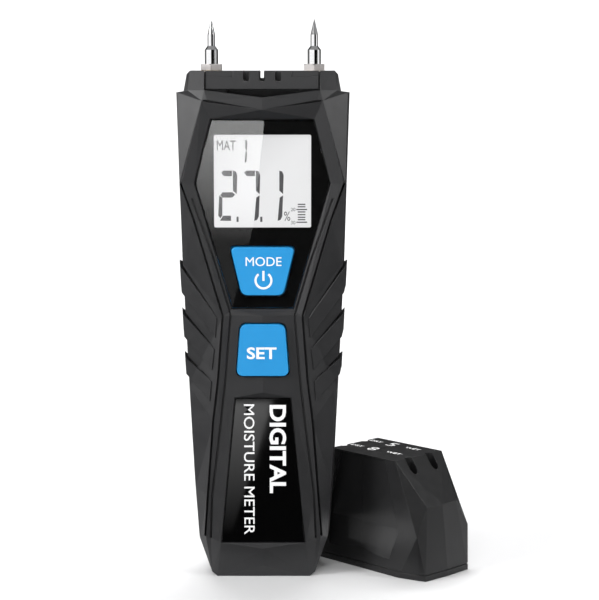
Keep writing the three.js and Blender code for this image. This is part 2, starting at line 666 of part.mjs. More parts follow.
// One quarter of the cap; the other three mirror it.
const CAP = {
  top: [13.27, -10.42, CAP_HEIGHT],
  topEnd: [13.27, 0, CAP_HEIGHT],
  waist: [22.6, -6.56, 21.5],
  waistEnd: [22.9, 0, 21.5],
  cross: [23.1, -11.5, 13.3],
  foot1: [16.4, -12.15, 0],
  foot2: [23.3, -10.25, 0],
  foot3: [25.0, -9.54, 0],
  footEnd: [25.4, 0, 0],
};
const CAP_FACETS = [
  "top waist waistEnd topEnd",
  "top cross waist",
  "waist cross foot3 footEnd waistEnd",
  "cross foot2 foot3",
  "cross foot1 foot2",
];

function capForm(inset = 0) {
  const corner = (name) => {
    const [x, y, z] = CAP[name];
    return [x - inset * Math.sign(x), y - inset * Math.sign(y), z];
  };
  const turns = [
    ([x, y, z]) => [x, y, z],
    ([x, y, z]) => [-x, y, z],
    ([x, y, z]) => [x, -y, z],
    ([x, y, z]) => [-x, -y, z],
  ];
  const middle = new THREE.Vector3(0, 0, 14);
  const outward = (triangle) => {
    const centre = new THREE.Vector3();
    triangle.forEach((point) => centre.add(new THREE.Vector3(...point)));
    return facing(triangle, centre.divideScalar(3).sub(middle).toArray());
  };
  const triangles = [];
  for (const turn of turns) {
    for (const facet of CAP_FACETS) {
      const points = facet.split(" ").map((name) => turn(corner(name)));
      for (let i = 1; i < points.length - 1; i++) {
        triangles.push(outward([points[0], points[i], points[i + 1]]));
      }
    }
  }
  for (const y of [1, -1]) {
    const long = ["top", "cross", "foot1"].map(corner).map(([x, b, z]) => [x, b * y, z]);
    const loop = [...long, ...long.map(([x, b, z]) => [-x, b, z]).reverse()];
    triangles.push(...capOf(loop, [0, -y, 0], seenFromFront));
  }
  const ring = (names) => {
    const quarter = names.map(corner);
    const half = [...quarter, ...quarter.slice(0, -1).reverse().map(([x, y, z]) => [x, -y, z])];
    return [...half, ...half.map(([x, y, z]) => [-x, y, z]).reverse()];
  };
  const seenFromTop = ([x, y]) => [x, y];
  triangles.push(...capOf(ring(["top", "topEnd"]), [0, 0, 1], seenFromTop));
  triangles.push(...capOf(ring(["foot1", "foot2", "foot3", "footEnd"]), [0, 0, -1], seenFromTop));
  return solid(meshOf(triangles));
}

function octagon(halfWidth, halfDepth, cutX, cutY, z) {
  const quarter = [[halfWidth - cutX, -halfDepth], [halfWidth, -halfDepth + cutY]];
  const right = [...quarter, ...quarter.map(([x, y]) => [x, -y]).reverse()];
  return [...right, ...right.map(([x, y]) => [-x, y]).reverse()].map(([x, y]) => [x, y, z]);
}

const RECESS_CREASE = 0.035; // how far the recess floor falls away from its middle
let capShell = capForm();
// A fine line runs round the cap just above its rim.
capShell = capShell.subtract(cut(solid(box(-30, 30, -20, 20, 1.7, 2.0)), capForm(0.3)));
// A finger recess on each long face: an upright floor with a raised crease, and a sloping ledge.
for (const side of [-1, 1]) {
  const ledge = [[-9.2, 34.2], [-15.6, 13.4], [-12.4, 5.0], [12.4, 5.0], [15.6, 13.4], [9.2, 34.2]];
  const wedge = [[10.15, 40], [10.15, 14], [12.6, 3.2], [20, 3.2], [20, 40]];
  const wedgeShape = new THREE.Shape(wedge.map(([y, z]) => new THREE.Vector2(-side * y, z)));
  const wedgeSolid = new THREE.ExtrudeGeometry(wedgeShape, { depth: 60, steps: 2, bevelEnabled: false });
  const alongX = [new THREE.Vector3(0, 1, 0), new THREE.Vector3(0, 0, 1), new THREE.Vector3(1, 0, 0)];
  wedgeSolid.applyMatrix4(new THREE.Matrix4().makeBasis(...alongX));
  wedgeSolid.translate(-30, 0, 0);
  const spots = wedgeSolid.attributes.position;
  for (let i = 0; i < spots.count; i++) {
    spots.setY(i, spots.getY(i) + side * RECESS_CREASE * Math.abs(spots.getX(i)));
  }
  const frame = side < 0 ? slab(ledge, 8, 20) : slab(ledge, -20, -8);
  capShell = capShell.subtract(solid(wedgeSolid).intersect(solid(frame)));
}
capShell = cut(
  capShell,
  solid(stackZ(octagon(23.4, 10.75, 7.4, 2.2, -1), octagon(23.2, 10.7, 7.4, 2.2, 6.5))),
  solid(stackZ(
    octagon(20.6, 8.5, 4, 2, 5),
    octagon(19.6, 8.4, 4, 2, 16),
    octagon(17.8, 8.2, 3, 2, 24.6),
  )),
);
// Pin holes for the check resistors, open through the top edge of each end.
const CHECK_PLACES = [[14.3, -4.65], [14.3, 4.65], [-14.3, -4.65], [-14.3, 4.65]];
for (const [x, y] of CHECK_PLACES) {
  const inner = Math.sign(x) * 13.6;
  const outer = Math.sign(x) * 15.0;
  const slot = join(
    solid(rodZ(1.45, 27.2, 40, inner, y, 16)),
    solid(rodZ(1.45, 27.2, 40, outer, y, 16)),
    solid(box(Math.min(inner, outer), Math.max(inner, outer), y - 1.45, y + 1.45, 27.2, 40)),
  );
  capShell = cut(capShell, slot, solid(rodZ(0.8, 20, 28, x, y, 12)));
}
add("cap_shell", geometryOf(capShell), "cap", cap);

for (const [i, [x, y]] of CHECK_PLACES.entries()) {
  const rivet = turned([[0, 21.4], [0.5, 21.4], [0.5, 27.5], [0.8, 27.5], [0.8, 28.1], [0, 28.1]], x, y, 12);
  add(`check_contact_${i + 1}`, rivet, "brass", cap);
}
const boardHoles = CHECK_PLACES.map(([x, y]) => solid(rodZ(0.8, 21, 25, x, y, 12)));
const checkBoard = cut(solid(box(-16.2, 16.2, -6.6, 6.6, 22.6, 23.6)), ...boardHoles);
add("check_board", geometryOf(checkBoard), "board", cap);
for (const [i, y] of [-4.65, 4.65].entries()) {
  const resistor = new THREE.CapsuleGeometry(0.85, 4.2, 4, 12).rotateZ(Math.PI / 2).translate(0, y, 21.4);
  add(`check_resistor_${i + 1}`, resistor, "resistor", cap);
}

export default group;
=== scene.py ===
# Handheld pin-type moisture meter, standing upright, with its protective cap taken off beside it.
# Metres, +Z up, display towards -Y. The pieces follow the order in which the meter is put together.
import math

import bmesh
import bpy
from mathutils import Matrix, Vector


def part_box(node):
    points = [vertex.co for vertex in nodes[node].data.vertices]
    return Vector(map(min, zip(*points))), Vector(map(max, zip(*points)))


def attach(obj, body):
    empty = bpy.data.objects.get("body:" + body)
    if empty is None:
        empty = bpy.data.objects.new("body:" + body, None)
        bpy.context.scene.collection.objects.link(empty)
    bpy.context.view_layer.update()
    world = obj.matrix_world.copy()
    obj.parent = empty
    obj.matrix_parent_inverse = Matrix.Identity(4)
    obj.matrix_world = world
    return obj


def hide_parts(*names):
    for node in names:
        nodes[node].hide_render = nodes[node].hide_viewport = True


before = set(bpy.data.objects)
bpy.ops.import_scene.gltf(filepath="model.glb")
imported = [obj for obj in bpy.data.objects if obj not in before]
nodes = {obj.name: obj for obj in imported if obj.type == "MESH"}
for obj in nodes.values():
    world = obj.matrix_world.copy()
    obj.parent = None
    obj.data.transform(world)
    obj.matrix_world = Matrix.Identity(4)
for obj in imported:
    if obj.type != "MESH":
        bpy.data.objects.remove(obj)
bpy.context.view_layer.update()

MM = 0.001


# ---------------------------------------------------------------------------------------------
# Front housing: an injection-moulded ABS shell with a faceted face, charcoal grey and finely
# spark-textured. Ribs on its flanks give grip; it meets the rear housing on one flat parting line.
def finish(name, colour, roughness, gloss=0.5, metal=0.0):
    """A plain finish, which tint, wear and relief then vary over the piece."""
    mat = bpy.data.materials.new(name)
    mat.use_nodes = True
    shader = mat.node_tree.nodes["Principled BSDF"]
    shader.inputs["Base Color"].default_value = (*colour, 1)
    shader.inputs["Roughness"].default_value = roughness
    shader.inputs["Specular IOR Level"].default_value = gloss
    shader.inputs["Metallic"].default_value = metal
    return mat


def speckle(mat, size, detail=2.0, stretch=(1, 1, 1)):
    """Noise through the piece; size is the spacing of its specks."""
    tree = mat.node_tree
    place = tree.nodes.new("ShaderNodeTexCoord")
    scale = tree.nodes.new("ShaderNodeMapping")
    scale.inputs["Scale"].default_value = stretch
    field = tree.nodes.new("ShaderNodeTexNoise")
    field.inputs["Scale"].default_value = 1 / size
    field.inputs["Detail"].default_value = detail
    tree.links.new(place.outputs["Object"], scale.inputs["Vector"])
    tree.links.new(scale.outputs["Vector"], field.inputs["Vector"])
    return field.outputs["Fac"]


def tint(mat, field, dark, light):
    """Base colour drifts from dark to light with the field."""
    tree = mat.node_tree
    blend = tree.nodes.new("ShaderNodeMix")
    blend.data_type = "RGBA"
    blend.inputs["A"].default_value = (*dark, 1)
    blend.inputs["B"].default_value = (*light, 1)
    tree.links.new(field, blend.inputs["Factor"])
    tree.links.new(blend.outputs["Result"], tree.nodes["Principled BSDF"].inputs["Base Color"])


def wear(mat, field, polished, dull):
    """Roughness drifts between the two values with the field."""
    tree = mat.node_tree
    spread = tree.nodes.new("ShaderNodeMapRange")
    # Noise seldom leaves this middle part of its range.
    spread.inputs["From Min"].default_value = 0.3
    spread.inputs["From Max"].default_value = 0.7
    spread.inputs["To Min"].default_value = polished
    spread.inputs["To Max"].default_value = dull
    tree.links.new(field, spread.inputs["Value"])
    tree.links.new(spread.outputs["Result"], tree.nodes["Principled BSDF"].inputs["Roughness"])


def relief(mat, field, depth, edge=0.0):
    """Raised texture of the given depth; edge is the small radius that sharp edges get."""
    tree = mat.node_tree
    bump = tree.nodes.new("ShaderNodeBump")
    bump.inputs["Distance"].default_value = depth
    tree.links.new(field, bump.inputs["Height"])
    if edge:
        bevel = tree.nodes.new("ShaderNodeBevel")
        bevel.samples = 6
        bevel.inputs["Radius"].default_value = edge
        tree.links.new(bevel.outputs["Normal"], bump.inputs["Normal"])
    tree.links.new(bump.outputs["Normal"], tree.nodes["Principled BSDF"].inputs["Normal"])


SPARK_GRAIN = 0.22 * MM


def moulded(name, dark, light, polished, dull, depth, edge):
    """Moulded plastic: faint drift in colour and polish over a fine spark texture."""
    mat = finish(name, light, dull)
    tint(mat, speckle(mat, 9 * MM, 3), dark, light)
    wear(mat, speckle(mat, 2.5 * MM, 4), polished, dull)
    relief(mat, speckle(mat, SPARK_GRAIN), depth, edge)
    return mat


def smooth_shading():
    """A modifier tree that shades every face smooth, for the weighted normals after it."""
    tree = bpy.data.node_groups.new("smooth shading", "GeometryNodeTree")
    tree.interface.new_socket("Geometry", in_out="INPUT", socket_type="NodeSocketGeometry")
    tree.interface.new_socket("Geometry", in_out="OUTPUT", socket_type="NodeSocketGeometry")
    start = tree.nodes.new("NodeGroupInput")
    shade = tree.nodes.new("GeometryNodeSetShadeSmooth")
    end = tree.nodes.new("NodeGroupOutput")
    tree.links.new(start.outputs[0], shade.inputs["Geometry"])
    tree.links.new(shade.outputs["Geometry"], end.inputs[0])
    return tree


SMOOTH = smooth_shading()


def round_edges(piece, width, sharper_than=25, steps=2):
    """Joins flat neighbours and rounds the edges that the mould or the tool leaves rounded."""
    weld = piece.modifiers.new("weld", "WELD")
    weld.merge_threshold = 0.002 * MM
    flats = piece.modifiers.new("flats", "DECIMATE")
    flats.decimate_type = "DISSOLVE"
    flats.angle_limit = math.radians(0.6)
    bevel = piece.modifiers.new("edges", "BEVEL")
    bevel.width = width
    bevel.segments = steps
    bevel.angle_limit = math.radians(sharper_than)
    bevel.use_clamp_overlap = True
    bevel.miter_outer = "MITER_ARC"
    smooth = piece.modifiers.new("smooth", "NODES")
    smooth.node_group = SMOOTH
    normals = piece.modifiers.new("normals", "WEIGHTED_NORMAL")
    normals.weight = 100


def dress(node, mat):
    """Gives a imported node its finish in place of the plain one."""
    piece = nodes[node]
    for slot in piece.material_slots:
        slot.material = mat


SHELL_DARK = (0.0125, 0.0125, 0.0135)
SHELL_LIGHT = (0.016, 0.016, 0.0172)
shell = moulded("charcoal shell", SHELL_DARK, SHELL_LIGHT, 0.4, 0.5, 0.006 * MM, 0.22 * MM)
dress("front_housing", shell)

# ---------------------------------------------------------------------------------------------
# Rear housing: the other half of the case, the same ABS. Its back is chamfered round to a flat,
# carries the battery door's recess and four deep counterbores for the case screws.
dress("rear_housing", shell)

# ---------------------------------------------------------------------------------------------
# Battery door: a flat moulded lid that hooks in at its foot and snaps under the case at its top,
# with three finger grooves below the latch.
dress("battery_door", shell)

# ---------------------------------------------------------------------------------------------
# Main board: green solder mask on glass laminate, held by two screws on moulded posts. It carries
# the controller, the buzzer and the two tact switches.
laminate = finish("solder mask", (0.012, 0.1, 0.035), 0.32)
tint(laminate, speckle(laminate, 1.2 * MM, 3), (0.008, 0.07, 0.024), (0.016, 0.13, 0.045))
relief(laminate, speckle(laminate, 0.5 * MM, 3), 0.01 * MM)
dress("main_board", laminate)

black_part = finish("black component", (0.012, 0.012, 0.012), 0.5)
wear(black_part, speckle(black_part, 1.5 * MM, 3), 0.4, 0.6)
relief(black_part, speckle(black_part, 0.15 * MM), 0.004 * MM, 0.1 * MM)
for name in ("control_chip", "buzzer", "mode_switch", "set_switch"):
    dress(name, black_part)

zinc = finish("zinc plate", (0.5, 0.5, 0.5), 0.3, metal=1.0)
tint(zinc, speckle(zinc, 0.9 * MM, 4), (0.4, 0.4, 0.4), (0.58, 0.58, 0.57))
wear(zinc, speckle(zinc, 0.5 * MM, 3), 0.24, 0.42)
relief(zinc, speckle(zinc, 0.2 * MM), 0.003 * MM, 0.08 * MM)
for number in (1, 2):
    dress(f"board_screw_{number}", zinc)

# ---------------------------------------------------------------------------------------------
# Display: a milky light guide behind a liquid crystal panel, joined to the board by a striped
# rubber connector. The panel glows pale grey and its lit segments read dark.
milky = finish("light guide", (0.85, 0.86, 0.88), 0.45)
relief(milky, speckle(milky, 0.4 * MM), 0.004 * MM)
wear(milky, speckle(milky, 2 * MM), 0.4, 0.55)
dress("backlight", milky)

stripes = finish("striped rubber", (0.02, 0.02, 0.02), 0.8)
tint(stripes, speckle(stripes, 0.5 * MM, 1, (4, 0.2, 0.2)), (0.01, 0.01, 0.01), (0.06, 0.06, 0.06))
dress("lcd_connector", stripes)

# The glow fades towards the panel's upper left corner.
GLOW_DIM = (0.62, 0.622, 0.63, 1)
GLOW_BRIGHT = (0.83, 0.832, 0.84, 1)
GLOW_LEAN = -0.8
DIM_FROM, BRIGHT_FROM = 143 * MM, 118 * MM
glow = finish("lit panel", (0.1, 0.1, 0.1), 0.35)
glow_tree = glow.node_tree
glow_mix = glow_tree.nodes.new("ShaderNodeMix")
glow_mix.data_type = "RGBA"
glow_mix.inputs["A"].default_value = GLOW_DIM
glow_mix.inputs["B"].default_value = GLOW_BRIGHT
glow_place = glow_tree.nodes.new("ShaderNodeTexCoord")
glow_parts = glow_tree.nodes.new("ShaderNodeSeparateXYZ")
glow_lean = glow_tree.nodes.new("ShaderNodeMath")
glow_lean.operation = "MULTIPLY_ADD"
glow_lean.inputs[1].default_value = GLOW_LEAN
glow_fade = glow_tree.nodes.new("ShaderNodeMapRange")
glow_fade.inputs["From Min"].default_value = DIM_FROM
glow_fade.inputs["From Max"].default_value = BRIGHT_FROM
glow_tree.links.new(glow_place.outputs["Object"], glow_parts.inputs["Vector"])
glow_tree.links.new(glow_parts.outputs["X"], glow_lean.inputs[0])
glow_tree.links.new(glow_parts.outputs["Z"], glow_lean.inputs[2])
glow_tree.links.new(glow_lean.outputs["Value"], glow_fade.inputs["Value"])
glow_tree.links.new(glow_fade.outputs["Result"], glow_mix.inputs["Factor"])
glow_shader = glow_tree.nodes["Principled BSDF"]
glow_tree.links.new(glow_mix.outputs["Result"], glow_shader.inputs["Emission Color"])
glow_shader.inputs["Emission Strength"].default_value = 0.92
dress("lcd_panel", glow)


def to_piece(source, name, place):
    """Turns a curve or text into a mesh piece, moved into the meter's frame."""
    bpy.context.scene.collection.objects.link(source)
    bpy.context.view_layer.update()
    shape = source.evaluated_get(bpy.context.evaluated_depsgraph_get())
    mesh = bpy.data.meshes.new_from_object(shape)
    bpy.data.objects.remove(source)
    mesh.name = name
    place(mesh)
    tidy = bmesh.new()
    tidy.from_mesh(mesh)
    bmesh.ops.remove_doubles(tidy, verts=tidy.verts, dist=0.0005 * MM)
    bmesh.ops.recalc_face_normals(tidy, faces=tidy.faces)
    tidy.to_mesh(mesh)
    tidy.free()
    piece = bpy.data.objects.new(name, mesh)
    bpy.context.scene.collection.objects.link(piece)
    return piece


def sheet_piece(name, outlines, front, back, edge=0.0):
    """A flat piece from closed (x, z) outlines in mm, holes included, between two depths in mm."""
    curve = bpy.data.curves.new(name, "CURVE")
    curve.dimensions = "2D"
    curve.fill_mode = "BOTH"
    curve.extrude = ((back - front) / 2 - edge) * MM
    curve.bevel_depth = edge * MM
    curve.bevel_resolution = 2
    curve.offset = -edge * MM
    for outline in outlines:
        line = curve.splines.new("POLY")
        line.points.add(len(outline) - 1)
        line.use_cyclic_u = True
        for point, (x, z) in zip(line.points, outline):
            point.co = (x * MM, z * MM, 0, 1)
    upright = Matrix.Translation((0, (front + back) / 2 * MM, 0)) @ Matrix.Rotation(math.pi / 2, 4, "X")
    return to_piece(bpy.data.objects.new(name, curve), name, lambda mesh: mesh.transform(upright))


def type_set(name, words, weight, steps):
    """A word one unit thick, ready to be fitted to its place; weight thickens its strokes."""
    text = bpy.data.curves.new(name, "FONT")
    text.body = words
    text.extrude = 0.5
    text.offset = weight
    text.resolution_u = steps
    return bpy.data.objects.new(name, text)


def fitted(mesh, along_range, up_range):
    """Each vertex of a word with its place along and up once the word fills the two ranges."""
    low = [min(v.co[i] for v in mesh.vertices) for i in (0, 1)]
    high = [max(v.co[i] for v in mesh.vertices) for i in (0, 1)]
    for v in mesh.vertices:
        along = (v.co.x - low[0]) / (high[0] - low[0])
        up = (v.co.y - low[1]) / (high[1] - low[1])
        yield (
            v,
            along_range[0] + along * (along_range[1] - along_range[0]),
            up_range[0] + up * (up_range[1] - up_range[0]),
        )


def lettering(name, words, x_range, z_range, front, depth, weight=0.0, downwards=False):
    """Print that fills the given ranges in mm, from the depth front to depth behind it."""

    def place(mesh):
        if downwards:
            spots = [(v, x, z) for v, z, x in fitted(mesh, z_range[::-1], x_range)]
        else:
            spots = list(fitted(mesh, x_range, z_range))
        for v, x, z in spots:
            v.co = (x * MM, (front + depth * (0.5 - v.co.z)) * MM, z * MM)

    return to_piece(type_set(name, words, weight, 4), name, place)


def give(piece, mat, body):
    """Dresses a new piece and has it move with a body."""
    piece.data.materials.clear()
    piece.data.materials.append(mat)
    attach(piece, body)


# The segments of one digit, in mm from its lower left corner.
DIGIT = {
    "top": [(0.93, 14.0), (1.62, 14.6), (4.05, 14.6), (4.05, 13.0), (1.75, 13.0)],
    "upper right": [(4.3, 14.6), (5.1, 14.35), (5.55, 13.3), (5.38, 7.8), (4.3, 8.8)],
    "middle": [(0.6, 7.5), (1.3, 8.3), (4.2, 8.3), (4.9, 7.6), (4.1, 6.8), (1.2, 6.8)],
    "lower left": [(0.3, 7.4), (1.2, 6.7), (1.15, 1.55), (0.6, 0.75), (0.0, 1.55)],
    "lower right": [(5.38, 7.4), (4.4, 6.75), (3.8, 0.0), (4.62, 0.3), (5.12, 1.3)],
    "bottom": [(0.45, 0.05), (1.4, 1.5), (3.7, 1.5), (3.7, 0.0)],
}
TWO = ("top", "upper right", "middle", "lower left", "bottom")
SEVEN = ("top", "upper right", "lower right")
ONE = ("upper right", "lower right")
PANEL_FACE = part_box("lcd_panel")[0].y / MM
INK_FRONT, INK_BACK = PANEL_FACE - 0.08, PANEL_FACE - 0.02


def digit(segments, x, z, size=1.0):
    """The outlines of a digit's lit segments, from its lower left corner."""
    return [[(x + size * u, z + size * v) for u, v in DIGIT[name]] for name in segments]


def bar(x0, x1, z0, z1):
    return [(x0, z0), (x1, z0), (x1, z1), (x0, z1)]


segment_ink = finish("dark segments", (0.03, 0.028, 0.034), 0.4)
segment_ink.node_tree.nodes["Principled BSDF"].inputs["Emission Strength"].default_value = 0.055
tint(segment_ink, speckle(segment_ink, 3 * MM), (0.02, 0.018, 0.024), (0.04, 0.038, 0.044))
READING_FOOT = 106.1
reading = digit(TWO, -12.9, READING_FOOT) + digit(SEVEN, -6.25, READING_FOOT) + digit(ONE, 0.55, READING_FOOT)
reading += [bar(-7.6, -7.0, 105.8, 107.3), bar(-0.72, -0.1, 105.8, 107.3)]
group_mark = digit(ONE, -6.9, 123.0, 0.45)
SCALE_HEIGHTS = (105.7, 106.45, 107.15, 107.9, 108.7, 109.4, 110.2, 110.9)
LABELLED_BARS = (0, 5)
scale_bars = []
for i, z in enumerate(SCALE_HEIGHTS):
    ends = (9.8, 12.9) if i in LABELLED_BARS else (10.2, 12.4)
    scale_bars.append(bar(*ends, z - 0.17, z + 0.17))
for name, outlines in (
    ("display_reading", reading),
    ("display_group", group_mark),
    ("display_scale", scale_bars),
):
    give(sheet_piece(name, outlines, INK_FRONT, INK_BACK), segment_ink, "meter")
for name, words, x_range, z_range in (
    ("display_mat", "MAT", (-13.2, -7.75), (126.6, 129.4)),
    ("display_percent", "%", (6.2, 8.0), (106.1, 108.8)),
    ("display_twenty", "20", (8.2, 9.5), (108.9, 109.9)),
    ("display_thirty", "30", (8.2, 9.5), (105.1, 106.1)),
):
    mark = lettering(name, words, x_range, z_range, INK_FRONT, INK_BACK - INK_FRONT)
    give(mark, segment_ink, "meter")

# ---------------------------------------------------------------------------------------------
# Window: a clear polished acrylic cover, printed black on its back except over the display, set
# into the front housing and cut out round the mode button.
def rounded(corners, radius, steps=5):
    """The closed outline with each corner turned into a short curve."""
    outline = []
    for i, corner in enumerate(corners):
        here = Vector(corner)
        before = Vector(corners[i - 1]) - here
        after = Vector(corners[(i + 1) % len(corners)]) - here
        start = here + before.normalized() * radius
        end = here + after.normalized() * radius
        for k in range(steps + 1):
            t = k / steps
            outline.append(start * (1 - t) ** 2 + here * 2 * t * (1 - t) + end * t**2)
    return outline


def mirrored(half):
    """The closed outline of a right half, from its top down, and its mirror image."""
    return half + [(-x, z) for x, z in reversed(half)]


# Places in mm on the right half of the meter's face.
lens_low, lens_high = (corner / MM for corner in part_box("window_lens"))
WINDOW_TOP, WINDOW_FOOT = 14.7, 8.85
WIDEST_HEIGHT = 117.1
MODE_TOP, MODE_FOOT, MODE_ROUND = (9.7, 99.05), (6.35, 84.35), 1.8
VIEW_TOP, VIEW_FOOT, VIEW_ROUND = (14.05, 131.1), (14.05, 104.3), 0.5
window_outline = mirrored(
    [(WINDOW_TOP, lens_high.z), (lens_high.x, WIDEST_HEIGHT), (WINDOW_FOOT, lens_low.z)]
)
mode_hole = rounded(mirrored([MODE_TOP, MODE_FOOT]), MODE_ROUND)
view_hole = rounded(mirrored([VIEW_TOP, VIEW_FOOT]), VIEW_ROUND)

cover_mat = bpy.data.materials.new("clear acrylic")
cover_mat.use_nodes = True
cover_tree = cover_mat.node_tree
cover_tree.nodes.clear()
cover_out = cover_tree.nodes.new("ShaderNodeOutputMaterial")
cover_mix = cover_tree.nodes.new("ShaderNodeMixShader")
cover_clear = cover_tree.nodes.new("ShaderNodeBsdfTransparent")
cover_gloss = cover_tree.nodes.new("ShaderNodeBsdfGlossy")
cover_gloss.inputs["Roughness"].default_value = 0.008
cover_edge = cover_tree.nodes.new("ShaderNodeFresnel")
cover_edge.inputs["IOR"].default_value = 1.3
cover_tree.links.new(cover_edge.outputs["Fac"], cover_mix.inputs["Fac"])
cover_tree.links.new(cover_clear.outputs["BSDF"], cover_mix.inputs[1])
cover_tree.links.new(cover_gloss.outputs["BSDF"], cover_mix.inputs[2])
cover_tree.links.new(cover_mix.outputs["Shader"], cover_out.inputs["Surface"])

black_print = finish("black print", (0.0015, 0.0015, 0.0015), 0.6, 0.1)
wear(black_print, speckle(black_print, 4 * MM), 0.5, 0.7)
COVER_BACK, MASK_FRONT, COVER_EDGE = lens_high.y - 0.15, lens_high.y - 0.1, 0.25
cover = sheet_piece("window_cover", [window_outline, mode_hole], lens_low.y, COVER_BACK, COVER_EDGE)
give(cover, cover_mat, "meter")
mask = sheet_piece("window_mask", [window_outline, mode_hole, view_hole], MASK_FRONT, lens_high.y)
give(mask, black_print, "meter")
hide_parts("window_lens")

# ---------------------------------------------------------------------------------------------
# Buttons: two blue moulded keys with a flange behind the face, printed white, each pressing the
# rubber plunger of a tact switch.
key_blue = finish("blue key", (0.01, 0.22, 0.49), 0.4, 0.3)
tint(key_blue, speckle(key_blue, 5 * MM), (0.008, 0.205, 0.47), (0.012, 0.228, 0.51))
wear(key_blue, speckle(key_blue, 1.5 * MM, 4), 0.35, 0.45)
relief(key_blue, speckle(key_blue, 0.3 * MM), 0.002 * MM)
print_white = finish("white print", (0.7, 0.7, 0.7), 0.45)
wear(print_white, speckle(print_white, 0.8 * MM, 3), 0.4, 0.6)
silicone = finish("silicone", (0.016, 0.016, 0.016), 0.75)
wear(silicone, speckle(silicone, 0.8 * MM, 3), 0.65, 0.85)
relief(silicone, speckle(silicone, 0.25 * MM), 0.003 * MM, 0.1 * MM)
for name in ("mode", "set"):
    dress(f"{name}_button", key_blue)
    round_edges(nodes[f"{name}_button"], 0.3 * MM, 40, 3)
    dress(f"{name}_plunger", silicone)

# All print is a layer half proud of its surface and half sunk into it.
PRINT_DEPTH = 0.04
mode_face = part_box("mode_button")[0].y / MM
set_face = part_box("set_button")[0].y / MM
for body, face, words, x_range, z_range, weight in (
    ("mode_button", mode_face, "MODE", (-4.9, 5.5), (93.3, 95.9), 0.0),
    ("set_button", set_face, "SET", (-4.6, 4.0), (66.2, 69.7), 0.022),
):
    name = words.lower() + "_print"
    mark = lettering(name, words, x_range, z_range, face - PRINT_DEPTH / 2, PRINT_DEPTH, weight)
    give(mark, print_white, body)
POWER_X, POWER_Z = 0.25, 89.1
POWER_RADIUS = 2.3
POWER_LINE = 0.62
POWER_GAP = 38  # degrees left open each side of the stem
RING_STEPS = 24
ring = []
for radius, way in ((POWER_RADIUS + POWER_LINE / 2, 1), (POWER_RADIUS - POWER_LINE / 2, -1)):
    for k in range(RING_STEPS + 1)[::way]:
        angle = math.radians(90 + POWER_GAP + k * (360 - 2 * POWER_GAP) / RING_STEPS)
        ring.append((POWER_X + radius * math.cos(angle), POWER_Z + radius * math.sin(angle)))
stem = bar(POWER_X - POWER_LINE / 2, POWER_X + POWER_LINE / 2, 89.0, 91.9)
symbol = sheet_piece(
    "power_print", [ring, stem], mode_face - PRINT_DEPTH / 2, mode_face + PRINT_DEPTH / 2
)
give(symbol, print_white, "mode_button")

# ---------------------------------------------------------------------------------------------
# Nameplate: a black gloss plate glued into a shallow recess of the front housing, its white
# lettering reading downwards.
gloss_black = finish("black gloss", (0.0012, 0.0012, 0.0013), 0.06, 0.22)
wear(gloss_black, speckle(gloss_black, 6 * MM), 0.04, 0.07)
dress("nameplate", gloss_black)
round_edges(nodes["nameplate"], 0.15 * MM)
plate_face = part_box("nameplate")[0].y / MM
for name, words, x_range, z_range, weight in (
    ("name_print", "MOISTURE METER", (-5.6, -2.5), (13.5, 52.6), 0.004),
    ("kind_print", "DIGITAL", (1.9, 6.8), (26.0, 52.4), 0.03),
):
    front = plate_face - PRINT_DEPTH / 2
    mark = lettering(name, words, x_range, z_range, front, PRINT_DEPTH, weight, downwards=True)
    give(mark, print_white, "meter")

# ---------------------------------------------------------------------------------------------
# Electrode head: a smooth moulded block between the two housings. Each side holds a pressed-in
# brass socket, a turned and plated pin, the union nut that clamps it, and a soldered lead.
HEAD_DARK = (0.015, 0.015, 0.016)
HEAD_LIGHT = (0.02, 0.02, 0.021)
dress("head_block", moulded("head block", HEAD_DARK, HEAD_LIGHT, 0.42, 0.5, 0.004 * MM, 0.15 * MM))
round_edges(nodes["head_block"], 0.18 * MM)
turned_brass = finish("turned brass", (0.65, 0.45, 0.16), 0.3, metal=1.0)
tint(turned_brass, speckle(turned_brass, 1 * MM, 3), (0.5, 0.34, 0.12), (0.72, 0.5, 0.2))
wear(turned_brass, speckle(turned_brass, 0.8 * MM, 3, (1, 1, 14)), 0.22, 0.38)
plated = finish("polished plate", (0.78, 0.78, 0.79), 0.08, metal=1.0)
tint(plated, speckle(plated, 1.5 * MM, 2), (0.74, 0.74, 0.75), (0.82, 0.82, 0.83))
wear(plated, speckle(plated, 0.6 * MM, 3, (1, 1, 10)), 0.05, 0.13)
satin_nickel = finish("satin nickel", (0.32, 0.305, 0.3), 0.4, metal=1.0)
tint(satin_nickel, speckle(satin_nickel, 0.8 * MM, 3), (0.28, 0.265, 0.26), (0.36, 0.345, 0.34))
wear(satin_nickel, speckle(satin_nickel, 0.5 * MM, 3), 0.34, 0.5)
relief(satin_nickel, speckle(satin_nickel, 0.25 * MM, 3), 0.003 * MM)
red_sleeve = finish("red insulation", (0.45, 0.015, 0.015), 0.4)
black_sleeve = finish("black insulation", (0.01, 0.01, 0.01), 0.4)
for sleeve in (red_sleeve, black_sleeve):
    wear(sleeve, speckle(sleeve, 1 * MM, 3), 0.32, 0.5)
for side, sleeve in (("left", red_sleeve), ("right", black_sleeve)):
    dress(f"{side}_socket", turned_brass)
    dress(f"{side}_pin", plated)
    dress(f"{side}_nut", satin_nickel)
    round_edges(nodes[f"{side}_nut"], 0.12 * MM)
    dress(f"{side}_electrode_lead", sleeve)

